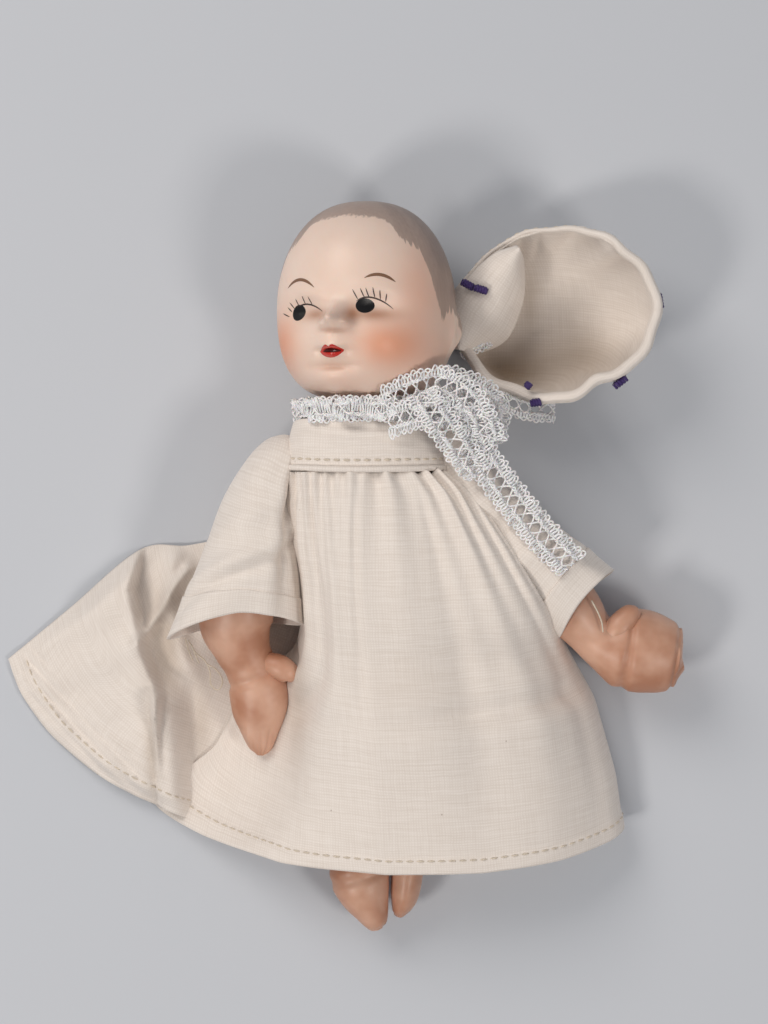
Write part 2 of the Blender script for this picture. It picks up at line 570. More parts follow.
left_thumb = [[53.6, -14.4, 14.6, 2.0, 2.0], [55.2, -12.0, 15.4, 2.7, 2.4], [57.0, -9.8, 15.4, 2.4, 2.2],
              [58.4, -8.4, 15.0, 1.7, 1.6], [58.9, -7.8, 14.8, 0.7, 0.7]]

arms = {
    "arm_right": (-1, right_arm, right_thumb, open_hand),
    "arm_left": (1, left_arm, left_thumb, closed_fist),
}
for body, (side, path, thumb, creases) in arms.items():
    parts = [oval_rings(path, 10, 80, creases), oval_rings(thumb, 8, 32),
             hub(side, HUB_X, HUB_DEPTH, SHOULDER_Y, SHOULDER_Z, 4.4)]
    casting(f"{body}_bisque", parts, body_bisque, body, body)


# ---- Legs ----
# Bisque legs with plump thighs, a soft knee and a bare baby foot each. The right foot lies over on its
# outer side, so its toes point down past the hem, and the left one lies behind it.

HIP_FACE, HIP_DEPTH, HIP_Y, HIP_Z = 3.6, 4.0, -15.0, 12.5


def bare_foot(s, k):
    """Creases of a leg: one behind the knee, one at the ankle and four lines between the toes."""
    toes = smooth(0.9, 0.95, s) * smooth(0.0, 0.6, np.sin(k))
    lines = sum(ridge(wrapped(k, math.radians(at)), 0, 0.09) for at in (48, 74, 100, 126))
    return -0.25 * toes * lines - 0.35 * ridge(s, 0.45, 0.02) - 0.4 * ridge(s, 0.70, 0.016)


right_leg = [
    [-2.4, -10.6, 12.5, 1.2, 1.4], [-2.4, -11.6, 12.5, 2.8, 3.2], [-2.4, -15, 12.5, 3.6, 4.5],
             [-2.3, -20.6, 12.5, 3.5, 4.9],
    [-1.2, -27, 12.6, 4.6, 5.2], [-1.2, -34, 12.1, 4.6, 4.9], [0, -43, 11, 4.6, 5], [1.8, -52, 9.8, 4.4, 4.4],
    [2.8, -57.6, 9.4, 4.8, 4.4], [3.4, -61.6, 9.2, 6.0, 5.0], [4.6, -65.6, 8.8, 5.2, 4.8],
             [6.2, -69.6, 8.4, 3.4, 3.4],
    [7.2, -72.2, 8, 2.0, 2.0], [7.6, -73.0, 8, 0.6, 0.6],
]
left_leg = [
    [12.6, -10.6, 12.5, 1.2, 1.4], [12.6, -11.6, 12.5, 2.9, 3.2], [12.6, -15, 12.5, 3.9, 4.5],
            [12.8, -20, 12.5, 4.3, 4.9],
    [13.2, -27, 12.6, 4.9, 5.2], [13.6, -34, 12.2, 5, 5.2], [13.8, -43, 10.8, 4.6, 5],
            [13.6, -52, 9, 3.8, 4.2],
    [13.4, -57, 8, 3.2, 4], [13.2, -61.6, 7.4, 3.2, 5], [12.6, -66.4, 7, 2.8, 4.6],
            [11.6, -69.4, 6.6, 1.6, 2.8],
    [11.0, -70.4, 6.4, 0.6, 0.8],
]
for body, side, path in (("leg_right", -1, right_leg), ("leg_left", 1, left_leg)):
    parts = [oval_rings(path, 10, 72, bare_foot), hub(side, HIP_FACE, HIP_DEPTH, HIP_Y, HIP_Z, 3.4)]
    casting(f"{body}_bisque", parts, body_bisque, body, body)


# ---- Calico and its stitches ----
# The dress and bonnet are unbleached calico, a plain-weave cotton with uneven threads, sewn with a natural
# cotton thread in 2 mm machine stitches.

CALICO, CALICO_SHADE, TONED = "#F0E8E1", "#E1D7CE", "#8A7154"
CLOTH_WALL = 0.35


def woven(name, light, dark):
    """Plain weave: warp and weft waves 0.55 mm apart, drawn a little coarser than the cloth's 0.4 mm so that
    they show, with thick and thin threads running about 9 mm and rare specks of seed husk."""
    made, tree, shader = new_material(name, Roughness=0.92, Sheen_Weight=0.25, Sheen_Roughness=0.5)
    flat = add(tree, "ShaderNodeUVMap", {"uv_map": "cloth"})
    wobble = add(tree, "ShaderNodeTexNoise", Vector=flat.outputs["UV"], Scale=3.0, Detail=2.0)
    drawn = add(tree, "ShaderNodeVectorMath", {"operation": "MULTIPLY_ADD"},
                _0=wobble.outputs["Color"], _1=(0.06, 0.06, 0), _2=flat.outputs["UV"])
    heights = []
    for direction in ("X", "Y"):
        wave = add(tree, "ShaderNodeTexWave", {"bands_direction": direction}, Vector=drawn.outputs["Vector"],
                   Scale=0.314 / 0.055, Distortion=0.6, Detail=1.0)
        heights.append(wave.outputs["Fac"])
    weft = add(tree, "ShaderNodeMapping", Vector=drawn.outputs["Vector"], Scale=(1.1, 21, 1))
    warp = add(tree, "ShaderNodeMapping", Vector=drawn.outputs["Vector"], Scale=(21, 1.1, 1))
    weft_slub = add(tree, "ShaderNodeTexNoise", Vector=weft.outputs["Vector"], Scale=1.0, Detail=3.0)
    warp_slub = add(tree, "ShaderNodeTexNoise", Vector=warp.outputs["Vector"], Scale=1.0, Detail=3.0)
    slubs = add(tree, "ShaderNodeMath", {"operation": "MULTIPLY_ADD"}, _0=weft_slub.outputs["Fac"], _1=0.62,
                _2=add(tree, "ShaderNodeMath", {"operation": "MULTIPLY"}, _0=warp_slub.outputs["Fac"],
                       _1=0.38).outputs[0])
    weave = add(tree, "ShaderNodeMath", {"operation": "MULTIPLY"}, _0=heights[0], _1=heights[1])
    height = add(tree, "ShaderNodeMath", {"operation": "MULTIPLY_ADD"}, _0=weave.outputs[0], _1=0.3,
                 _2=slubs.outputs[0])
    tone = add(tree, "ShaderNodeMapRange", Value=height.outputs[0], From_Min=0.38, From_Max=0.82)
    tint = add(tree, "ShaderNodeMix", {"data_type": "RGBA"}, _0=tone.outputs[0], _6=linear(dark),
               _7=linear(light))
    toned = add(tree, "ShaderNodeAttribute", {"attribute_name": "toned"})
    aged = add(tree, "ShaderNodeMix", {"data_type": "RGBA"}, _0=toned.outputs["Fac"], _6=tint.outputs[2],
               _7=linear(TONED))
    husk = add(tree, "ShaderNodeTexVoronoi", Vector=flat.outputs["UV"], Scale=1.3)
    speck = add(tree, "ShaderNodeMapRange", Value=husk.outputs["Distance"], From_Min=0.015, From_Max=0.03,
                To_Min=0.45, To_Max=0.0)
    specked = add(tree, "ShaderNodeMix", {"data_type": "RGBA"}, _0=speck.outputs[0], _6=aged.outputs[2],
                  _7=linear("#7C6348"))
    tree.links.new(specked.outputs[2], shader.inputs["Base Color"])
    bump(tree, shader, height.outputs[0], 0.12, 0.4)
    return made


calico = woven("woven_calico", CALICO, CALICO_SHADE)


def age(piece, grid, spots):
    """Browns the cloth where it has aged: a sum of round hills at (x, y), each given by its middle, half
    widths and strength."""
    x, y = grid[..., 0].ravel(), grid[..., 1].ravel()
    layer = piece.data.attributes.new("toned", "FLOAT", "POINT")
    layer.data.foreach_set("value", sum(hill(x, y, *spot) for spot in spots).astype(np.float32))

# Cotton sewing thread is two-ply, so it shows a fine twist.
thread, tree, shader = new_material("cotton_thread", Base_Color=linear("#D9CDBB"), Roughness=0.8)
place = add(tree, "ShaderNodeTexCoord")
twist = add(tree, "ShaderNodeTexWave", {"bands_direction": "DIAGONAL"}, Vector=place.outputs["Object"],
            Scale=1 / (1.2 * MM))
bump(tree, shader, twist.outputs["Fac"], 0.05)


def surface_normals(grid):
    """Unit normal at each point of a grid: the cross product of its two directions."""
    normal = np.cross(np.gradient(grid, axis=1), np.gradient(grid, axis=0))
    return normal / np.maximum(np.linalg.norm(normal, axis=2, keepdims=True), 1e-9)


def cloth_uv(grid):
    """Flat place of each point in centimetres: the lengths run along its row and down the middle column."""
    step = np.linalg.norm(np.diff(grid, axis=1), axis=2)
    across = np.concatenate([np.zeros((len(grid), 1)), np.cumsum(step, 1)], 1)
    across -= across[:, grid.shape[1] // 2][:, None]
    down = np.linalg.norm(np.diff(grid, axis=0), axis=2).mean(1)
    down = np.concatenate([[0], np.cumsum(down)])[:, None] + 0 * across
    return np.stack([across, down], -1).reshape(-1, 2) / 10


def cloth(name, grid, body, wall=CLOTH_WALL, finish=None, around=False):
    """A cloth piece with its right side along the grid and its thickness behind it."""
    rows, columns, _ = grid.shape
    faces = grid_faces(rows, columns, around).tolist()
    piece = make_mesh(name, grid.reshape(-1, 3), faces, finish or calico, body, cloth_uv(grid))
    solid = piece.modifiers.new("cloth_wall", "SOLIDIFY")
    solid.thickness = wall * MM
    solid.offset = -1
    return piece


def stitches(name, path, body, length=1.5, pitch=2.1, thick=0.16, lift=0.12, ups=None):
    """A row of sewn stitches along a path: each a short thread, thick in the middle and sunk at both ends."""
    path = np.asarray(path, float)
    run = np.concatenate([[0], np.cumsum(np.linalg.norm(np.diff(path, axis=0), axis=1))])
    starts = np.arange(0.3, run[-1] - length, pitch)
    t = np.linspace(0, 1, 6)
    at = starts[:, None] + length * t[None, :]
    middle = np.stack([np.interp(at, run, path[:, i]) for i in range(3)], -1)
    up = np.array([0.0, 0, 1]) if ups is None else np.stack([np.interp(at, run,
                                                                       ups[:, i]) for i in range(3)], -1)
    middle = middle + up * (lift * np.sin(math.pi * t) ** 0.5)[None, :, None]
    ahead = np.gradient(middle, axis=1)
    side = np.cross(ahead, up)
    side /= np.linalg.norm(side, axis=2, keepdims=True)
    k = np.arange(6) * math.pi / 3
    fat = thick * (0.35 + 0.65 * np.sin(math.pi * t))[None, :, None, None]
    ring = side[:, :, None] * np.cos(k)[None, None, :, None] + (up + 0 * side)[:, :, None] * np.sin(k)[None,
                                                                                                       None,
                                                                                                       :,
                                                                                                       None]
    points = middle[:, :, None] + fat * ring
    count = 36
    faces = grid_faces(6, 6, True)
    caps = np.array([[0, 5, 4, 3], [0, 3, 2, 1], [30, 31, 32, 33], [30, 33, 34, 35]])
    one = np.concatenate([faces, caps])
    every = (one[None] + (np.arange(len(starts)) * count)[:, None, None]).reshape(-1, 4)
    piece = make_mesh(name, points.reshape(-1, 3), every.tolist(), thread, body)
    return piece


# ---- Skirt ----
# A gathered calico tube. The front lies over the legs and comes down to the table at the doll's left; the
# back is spread flat on the table and fans out past the right hand in soft folds. Turned, stitched hem.

HEM_DEEP, SKIRT_LONG = 2.7, 79
FRONT_ROWS, FRONT_COLUMNS = 176, 200


def along_rows(s, *knots):
    """Values at s, eased through (s, value) knots."""
    at, values = zip(*knots)
    fine = np.linspace(0, 1, 401)
    eased = np.interp(fine, at, values)
    kernel = np.hanning(33)
    kernel /= kernel.sum()
    padded = np.concatenate([2 * eased[0] - eased[16:0:-1], eased, 2 * eased[-1] - eased[-2:-18:-1]])
    return np.interp(s, fine, np.convolve(padded, kernel, "valid"))


def skirt_front_grid():
    """Rows run from the yoke to the hem, columns from the doll's left to its right. Across a row the
    height is the edge's plus the rise times sin(p)^n, and the reach is cos(p), so a small n makes a full
    curve and a large n a bell that dies away on the table. Gathers and folds go along the normal."""
    s = np.linspace(0, 1, FRONT_ROWS)[:, None]
    c = np.linspace(1, 0, FRONT_COLUMNS)[None, :]
    left_x = along_rows(s, (0, -10.6), (0.1, -10.4), (0.2, -9.8), (0.3, -8.6), (0.46, -8.2), (0.55, -9.5),
                        (0.62, -15),
                        (0.68, -19.5), (0.77, -22.5), (0.87, -26), (0.94, -32), (1, -39.4))
    left_z = along_rows(s, (0, 20.5), (0.1, 18), (0.2, 12), (0.35, 5), (0.55, 2.6), (0.75, 1.9), (1, 1.5))
    right_x = along_rows(s, (0, 21), (0.05, 26), (0.2, 33.2), (0.44, 43.4), (0.64, 51.4), (0.85, 55.6),
                         (1, 57))
    right_z = along_rows(s, (0, 20), (0.05, 22), (0.12, 23.6), (0.24, 23.6), (0.34, 22.4), (0.41, 17),
                         (0.48, 5),
                         (0.56, 1.4), (1, 1.0))
    crest_x = along_rows(s, (0, 5), (0.3, 5), (1, 9))
    crest_z = along_rows(s, (0, 28.0), (0.15, 28.2), (0.3, 27.8), (0.4, 26.4), (0.47, 24.9), (0.53, 24.9),
                         (0.6, 26.4),
                         (0.66, 26.0), (0.8, 23.6), (1, 20.6))
    left_power = along_rows(s, (0, 0.8), (0.2, 0.62), (0.5, 0.62), (0.57, 1.0), (0.64, 2.8),
                            (0.75, 3.4), (0.88, 3.6), (1, 3.4))
    p = math.pi * (1 - c) + 0 * s
    reach = np.cos(p)
    x = np.where(reach < 0, crest_x + (crest_x - left_x) * reach,
                 crest_x + (right_x - crest_x) * np.abs(reach) ** 0.92)
    z = np.where(reach < 0, left_z + (crest_z - left_z) * np.abs(np.sin(p)) ** left_power,
                 right_z + (crest_z - right_z) * np.abs(np.sin(p)) ** 0.78)
    hem_y = np.interp(c, [0, 0.1, 0.22, 0.36, 0.5, 0.62, 0.75, 0.88, 1],
                      [-45, -49.5, -54.2, -58.8, -60.6, -60.2, -58, -55, -51.6])
    y = 19.2 - s * (19.2 - hem_y)
    grid = np.stack([x, y, z], -1)
    gathers = (0.75 * np.exp(-s / 0.2) * np.sin(2 * math.pi * (8.5 * c + 0.7 * np.sin(7 * c + 1)))
               + 0.45 * np.exp(-s / 0.1) * np.sin(2 * math.pi * (19.5 * c + 0.9 * np.sin(5 * c))))
    folds = sum(high * ridge(c, at + lean * s, wide * (0.35 + s)) * smooth(0, 0.15,
                                                                           s) * (1 - 0.55 * smooth(0.6, 1, s))
                for at, lean, wide, high in (
                    (0.16, 0.02, 0.040, 0.9), (0.25, 0.03, 0.035, -0.8), (0.34, 0.02, 0.04, 0.7),
                                             (0.45, 0.0, 0.035, -0.6),
                    (0.55, 0.0, 0.05, 0.6), (0.66, -0.03, 0.035, -0.9), (0.76, -0.02, 0.045, 0.8),
                                             (0.88, -0.02, 0.03, -0.5)))
    crease = -1.7 * ridge(s, 0.60 + 0.10 * (0.7 - c), 0.03) * smooth(0.45, 0.62,
                                                                     c) * (1 - smooth(0.85, 0.97, c))
    hem = 0.28 * smooth(1 - HEM_DEEP / SKIRT_LONG - 0.004, 1 - HEM_DEEP / SKIRT_LONG + 0.002, s)
    waves = 0.5 * np.sin(2 * math.pi * (3.3 * c + 0.1)) * smooth(0.6, 1, s)
    border = smooth(0, 0.05, c) * (1 - smooth(0.95, 1, c))
    push = (gathers + folds + crease + waves) * border + hem
    return grid + surface_normals(grid) * push[..., None]


front_grid = skirt_front_grid()
skirt_front = cloth("skirt_front_cloth", front_grid, "body")
age(skirt_front, front_grid, [((-9, -24), (2.4, 14), 0.3), ((14, -22), (9, 5), 0.08)])
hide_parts("skirt_front")
hem_row = int(round((1 - HEM_DEEP / SKIRT_LONG) * (FRONT_ROWS - 1)))
stitches("skirt_front_hem_stitches", front_grid[hem_row, 4:-4], "body")


def skirt_back_grid():
    """Rows run from the waist out to the hem, columns along the hem from the right end back to the fan's tip.
    Each point lies straight between the two, bowed at the fan's edge; the height is a sum of folds."""
    s = np.linspace(0, 1, 150)[:, None]
    c = np.linspace(1, 0, 220)[None, :]
    hem = through([(-68.3, -18.7), (-65.6, -25.6), (-59.6, -34), (-49.5, -42.4), (-38.6, -48), (-22, -54.6),
                   (-4, -60),
                   (15, -62.4), (31, -61.4), (45, -57), (54, -50.5)], 20)
    edge = through([(-9, 14), (-19, 7.6), (-31, 4.6), (-41.4, 3.6), (-55.6, -8.2), (-68.3, -18.7)], 20)
    at_hem = np.linspace(0, 1, len(hem))
    at_edge = np.linspace(0, 1, len(edge))
    hem_xy = np.stack([np.interp(c, at_hem, hem[:, i]) for i in (0, 1)], -1)
    waist_xy = np.stack([-9 + 26 * c, 14 + 0 * c], -1)
    straight = waist_xy + (hem_xy - waist_xy) * s[..., None]
    edge_xy = np.stack([np.interp(s, at_edge, edge[:, i]) for i in (0, 1)], -1)
    bow = edge_xy - (waist_xy[:, -1:] + (hem_xy[:, -1:] - waist_xy[:, -1:]) * s[..., None])
    flat = straight + bow * ((1 - c) ** 5)[..., None]
    x, y = flat[..., 0], flat[..., 1]
    # the fan: a raised lobe whose inner side drops sharply into a valley by the sleeve
    edge_x = np.interp(y, [-46, -34, -26, -18, -4.5, 4.6], [-37.0, -37.0, -36.0, -39.3, -42.2, -40.3])
    lobe = 6.2 * smooth(-0.6, 1.6, edge_x - x) * (0.25 + 0.75 * smooth(26, 3, edge_x - x))
    lobe = lobe + 2.6 * ridge(x, edge_x + 6.5, 2.2) * smooth(-26, -16, y)
    # a pleat with a steep left side standing between that valley and the skirt front, and a slanting fold
    beside = x + 37.4 + 0.05 * (y + 46)
    pleat = 6.8 * smooth(-0.7, 0.9, beside) * smooth(8.2, 2.6, beside) * smooth(-21, -30, y)
    slant_x = np.interp(y, [-16, 0], [-41.6, -31.4])
    slant = 3.0 * ridge(x, slant_x, 1.5) * smooth(-20, -12, y) * smooth(3.5, -3, y)
    ripples = 0.5 * np.sin(0.42 * x - 0.30 * y + 0.6) * np.sin(0.16 * x + 0.33 * y) * smooth(-40, -46, x)
    dents = 0.35 * np.sin(1.9 * (x + y)) * smooth(0.86, 0.93, s) * smooth(-36, -42, x)
    under = 0.55 + 0.35 * smooth(-36, -30, x)
    hem_step = 0.28 * smooth(0.955, 0.962, s)
    rim = smooth(0, 0.05, 1 - s) * 0.55 + 0.45
    z = under + (lobe + ripples * 1.2 + dents) * rim * smooth(-0.02, 0.06,
                                                              c) + pleat * (0.4
                                                                            + 0.6 * rim) + slant + hem_step
    return np.stack([x, y, np.maximum(z, 0.45)], -1)


back_grid = skirt_back_grid()
skirt_back = cloth("skirt_back_cloth", back_grid, "body")
age(skirt_back, back_grid, [((-36, -16), (3.4, 10), 0.42), ((-38.5, -38), (1.4, 8), 0.35),
                            ((-29, -32), (2.4, 8), 0.3)])
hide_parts("skirt_back")
stitches("skirt_back_hem_stitches", back_grid[int(0.955 * 149), 70:-3], "body")


# ---- Yoke ----
# A flat calico band across the chest and over the shoulders, and one behind. A piped seam holds the
# skirt's gathers under it, with a row of stitches just above the piping.

YOKE_LOW, YOKE_TOP = 20.2, 29.4


def yoke_grid(lower_half, top_half, high, low, low_y, top_y):
    """Rows run from the seam up to the neck. Across, x is half the width times sin(p) and the height drops
    from the crest by 1 - cos(p)^0.75, so the band wraps the chest and lies over the shoulders."""
    s = np.linspace(1, 0, 60)[:, None]
    p = np.linspace(-1, 1, 140)[None, :] * math.radians(84)
    half = lower_half + (top_half - lower_half) * s ** 1.3
    x = DOLL_X + half * np.sin(p)
    z = low + (high - low) * np.cos(p) ** 0.75 - 1.0 * smooth(0.5, 1, s)
    y = low_y + (top_y - low_y) * s + 0.9 * np.sin(p) ** 2 * (1 - s) * 0.6 + 0.3 * np.sin(5 * p) * s
    soft = 0.12 * np.sin(3.1 * y + 4 * p) * np.cos(2.2 * p)
    return np.stack([x + 0 * y, y, z + soft], -1)


front_band = yoke_grid(16.4, 14.6, 28.4, 17.4, YOKE_LOW, YOKE_TOP)[:, ::-1]
back_band = yoke_grid(14.0, 12.0, 2.3, 10.5, YOKE_LOW, YOKE_TOP)
for name, grid, node_name, rest in (("yoke_front_cloth", front_band, "yoke_front", "torso"),
                                    ("yoke_back_cloth", back_band, "yoke_back", "table")):
    band = cloth(name, grid, "body", 0.5)
    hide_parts(node_name)


def thread_tube(points, radius, sides=8):
    """Rings round a line of points, across its direction, radius millimetres out."""
    points = np.asarray(points, float)
    ahead = np.gradient(points, axis=0)
    ahead /= np.maximum(np.linalg.norm(ahead, axis=1, keepdims=True), 1e-9)
    helper = np.where(np.abs(ahead[:, 2:3]) > 0.9, np.array([[1.0, 0, 0]]), np.array([[0.0, 0, 1]]))
    side = np.cross(ahead, helper)
    side /= np.linalg.norm(side, axis=1, keepdims=True)
    up = np.cross(side, ahead)
    k = np.linspace(0, 2 * math.pi, sides, endpoint=False)
    reach = np.broadcast_to(np.asarray(radius, float), (len(points),))[:, None, None]
    return points[:, None] + reach * (side[:, None] * np.cos(k)[None, :, None]
                                      + up[:, None] * np.sin(k)[None, :, None])


seam_line = front_band[-1, 2:-2] + np.array([0, -0.55, 0.1])
piping_rings = thread_tube(seam_line, 0.62, 12)
piping_flat = np.concatenate([cloth_uv(piping_rings), [[0, 0], [0, 0]]])
piping = skin("yoke_seam_piping", piping_rings, calico, "body", piping_flat)
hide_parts("yoke_seam")
stitches("yoke_seam_stitches", front_band[-9, 3:-3], "body", 1.4, 2.0, 0.2, 0.2)


# ---- Sleeves ----
# Straight calico sleeves set under the yoke, pressed flat by lying down and folded by the bend of the arm.
# Each mouth is turned in and stitched; the right one has frayed, and a loop of thread hangs from it.

CUFF_SHARE, SLEEVE_LONG = 0.87, 37


def sleeve_grid(stations, mouth, folds):
    """Rings along the sleeve, each point moved on towards the mouth by mouth(k) s^4, and outward by
    folds(s, k)."""
    rings = oval_rings(stations, 22, 120, folds)
    s = np.linspace(0, 1, len(rings))[:, None]
    k = np.linspace(0, 2 * math.pi, 120, endpoint=False)[None, :]
    ahead = np.array(stations[-1][:3]) - np.array(stations[-2][:3])
    ahead /= np.linalg.norm(ahead)
    return rings + (mouth(k) * s ** 4)[..., None] * ahead


def right_folds(s, k):
    """Slanting drag folds over the upper side, and a deep pleat down the side next to the skirt."""
    top = smooth(-0.1, 0.5, np.sin(k))
    slant = s + 0.13 * (k - 1.6)
    drags = 0.9 * ridge(slant, 0.66, 0.045) - 0.7 * ridge(slant, 0.75, 0.04) + 0.5 * ridge(slant, 0.48, 0.05)
    pleat = -1.6 * ridge(wrapped(k, 2.35), 0, 0.16) * smooth(1.0, 0.45, s) + 0.8 * ridge(wrapped(k, 2.05),
                                                                                         0, 0.2)
    return drags * top + pleat * smooth(0, 0.1, s) + 0.25 * np.sin(3 * k + 5 * s) * s


def left_folds(s, k):
    """Loose folds across the elbow and one along the upper edge."""
    slant = s - 0.10 * (k - 1.6)
    drags = 0.7 * ridge(slant, 0.45, 0.05) - 0.6 * ridge(slant, 0.56, 0.045) + 0.6 * ridge(slant, 0.72, 0.05)
    return drags * smooth(-0.1, 0.5, np.sin(k)) + 0.6 * ridge(wrapped(k, 2.2), 0,
                                                              0.25) + 0.3 * np.sin(3 * k + 1) * s


sleeves = {
    "right": (
        [[-10.6, 24.2, 13.4, 0.8, 1.2], [-11.4, 23.2, 14.2, 3.6, 6.0], [-13.7, 19.0, 16.0, 5.5, 7.8],
         [-15.9, 12, 15.4, 7.6, 8.8],
         [-17.6, 4, 14.2, 9.1, 9.4], [-19.2, -3, 13.4, 10.7, 9.2], [-20.9, -9.8, 12.8, 12.4, 8.2]],
        lambda k: 4.6 * np.cos(k) + 3.0 * np.abs(np.cos(k)) ** 1.5 - 2.0 * np.sin(k),
        right_folds, (-14, 21.5, 16), (-15.5, 12, 15)),
    "left": (
        [[20.2, 25.6, 13.8, 0.8, 1.2], [21.4, 24.2, 14.8, 3.8, 6.6], [24.8, 18.4, 16.0, 5.9, 8.2],
         [29.2, 11.6, 15.4, 7.6, 8.6],
         [35.2, 4.8, 14.6, 8.0, 8.8], [42, -1.0, 14, 8.0, 8.6], [48.2, -6.0, 13.4, 8.0, 7.8]],
        lambda k: 0.8 - 1.2 * np.sin(k) + 0.6 * np.cos(2 * k),
        left_folds, (23.5, 21.5, 16.5), (29, 12, 15.5)),
}
for side, (stations, mouth, folds, fixed, free) in sleeves.items():
    grid = sleeve_grid(stations, mouth, folds)
    last = len(grid) - 1
    cuff_row = int(CUFF_SHARE * last)
    tube = cloth(f"sleeve_{side}_cloth", grid, None, 0.4, around=True)
    centre = grid.mean(1, keepdims=True)
    outward = grid - centre
    outward /= np.linalg.norm(outward, axis=2, keepdims=True)
    hem = cloth(f"cuff_hem_{side}_cloth", grid[cuff_row:] + outward[cuff_row:] * 0.34, None, 0.32,
                around=True)
    sewn_row = cuff_row + 2
    sewn = stitches(f"cuff_{side}_stitches",
                    grid[sewn_row, np.r_[:120, 0]] + 0.34 * outward[sewn_row, np.r_[:120, 0]],
                    None, 1.3, 1.9, ups=outward[sewn_row, np.r_[:120, 0]])
    for piece in (tube, hem, sewn):
        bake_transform(piece)
    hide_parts(f"sleeve_{side}")
    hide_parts(f"cuff_hem_{side}")

frayed = [
    [(-31.0, -14.6, 8.6), (-29.6, -17.0, 8.4), (-27.6, -18.8, 8.6), (-26.6, -21.2, 8.4), (-26.5, -23.6, 8.2),
     (-25.0, -24.6, 8.2), (-24.1, -22.8, 8.4), (-25.3, -20.6, 8.6), (-27.2, -19.4, 8.6)],
    [(-31.6, -14.2, 8.4), (-31.0, -16.6, 8.0), (-30.2, -18.6, 7.6)],
    [(-30.4, -15.4, 8.6), (-29.4, -18.0, 8.2), (-28.9, -19.2, 7.9)],
]
for i, points in enumerate(frayed):
    skin(f"frayed_thread_{i}", thread_tube(through(points, 8), 0.14, 6), thread, "arm_right")
wrist_thread = skin("wrist_thread", thread_tube(through(
    [(49.6, -6.2, 19.6), (50.8, -8.4, 19.4), (51.7, -10.6, 18.8), (52.0, -12.6, 18.0)], 8), 0.16, 6),
                    thread, "arm_left")


# ---- Lace tie ----
# Machine-made nylon lace about 8 mm wide: two chains of shiny thread with a lattice of holes between them
# and long picot loops along both edges. It circles the neck, is knotted at the left and its end hangs down.

LACE_THREAD = 0.2

# Nylon thread is smooth and translucent, so each loop catches a hard white glint.
nylon, tree, shader = new_material("nylon_lace_thread", Base_Color=linear("#F7F5F6"), Roughness=0.3, IOR=1.53,
                                   Coat_Weight=0.4, Coat_Roughness=0.15, Subsurface_Weight=0.1,
                                   Subsurface_Scale=0.0006)
place = add(tree, "ShaderNodeTexCoord")
plies = add(tree, "ShaderNodeTexWave", {"bands_direction": "DIAGONAL"}, Vector=place.outputs["Object"],
            Scale=1 / (1.6 * MM))
bump(tree, shader, plies.outputs["Fac"], 0.05)


def lace_lines(length, crimped):
    """Threads of a flat strip as lines of (along, across): chains at both sides of the middle, a lattice
    that crosses between them, and picots whose loops run along as q - sin and out as 1 - cos. Where the
    strip is crimped, two more threads run to and fro over its whole width."""
    q = np.linspace(0, 1, max(24, int(length * 7)))
    lines = []
    for t in (-1.55, 1.55):
        lines.append(np.stack([q * length, t + 0.16 * np.sin(2 * math.pi * q * length / 0.9)], -1))
        for side in (1, -1):
            lines.append(np.stack([q * length, t + side * 0.36 * np.sin(2 * math.pi * q * length / 1.5)], -1))
    for phase in (0, math.pi):
        lines.append(np.stack([q * length, 1.5 * np.sin(2 * math.pi * q * length / 4.6 + phase)], -1))
    loops = np.linspace(0, 1, max(60, int(length / 1.25 * 11)))
    turn = 2 * math.pi * loops * length / 1.25
    for side in (1, -1):
        for phase in (0, math.pi):
            reach = 1.6 + (1.2 - 0.1 * phase) * (1 - np.cos(turn + phase)) * (0.9 + 0.1 * np.sin(turn * 0.37))
            lines.append(np.stack([loops * length - 0.32 * np.sin(turn + phase), side * reach], -1))
    fine = np.linspace(0, 1, int(length * 16) + 24)
    for phase in (0, math.pi) if crimped else ():
        sway = np.sin(2 * math.pi * fine * length / 1.1 + phase)
        lines.append(np.stack([fine * length, 3.7 * sway * (0.88 + 0.12 * np.sin(2.3 * fine * length))], -1))
    return lines


def lace(name, strips, body, squeeze=1.0, crimped=False):
    """One lace piece from strips, each a path with the direction across it. A thread's point is the path's
    point, plus across times its own place, plus a small lift that weaves the threads over each other."""
    tubes = []
    for path, across in strips:
        fine = through(path, 12)
        wide = through(across, 12)
        wide /= np.linalg.norm(wide, axis=1, keepdims=True)
        run = np.concatenate([[0], np.cumsum(np.linalg.norm(np.diff(fine, axis=0), axis=1))])
        for number, line in enumerate(lace_lines(run[-1], crimped)):
            at = np.clip(line[:, 0], 0, run[-1])
            middle = np.stack([np.interp(at, run, fine[:, i]) for i in range(3)], -1)
            side = np.stack([np.interp(at, run, wide[:, i]) for i in range(3)], -1)
            ahead = np.stack([np.interp(at, run, np.gradient(fine[:, i])) for i in range(3)], -1)
            up = np.cross(ahead, side)
            up /= np.linalg.norm(up, axis=1, keepdims=True)
            weave = 0.2 * np.sin(3.1 * at + number) + 0.45 * np.sin(0.8 * at + 0.9 * line[:, 1]
                                                                    + 0.4 * number)
            tubes.append(thread_tube(middle + side * line[:, 1:2] * squeeze + up * weave[:, None],
                                     LACE_THREAD, 5))
    points, faces, start = [], [], 0
    for tube in tubes:
        rows, sides, _ = tube.shape
        points.append(tube.reshape(-1, 3))
        faces += (grid_faces(rows, sides, True) + start).tolist()
        faces += [[start + k for k in range(sides)][::-1],
                  [start + (rows - 1) * sides + k for k in range(sides)]]
        start += rows * sides
    piece = make_mesh(name, np.concatenate(points), faces, nylon, body, outward=True)
    return piece


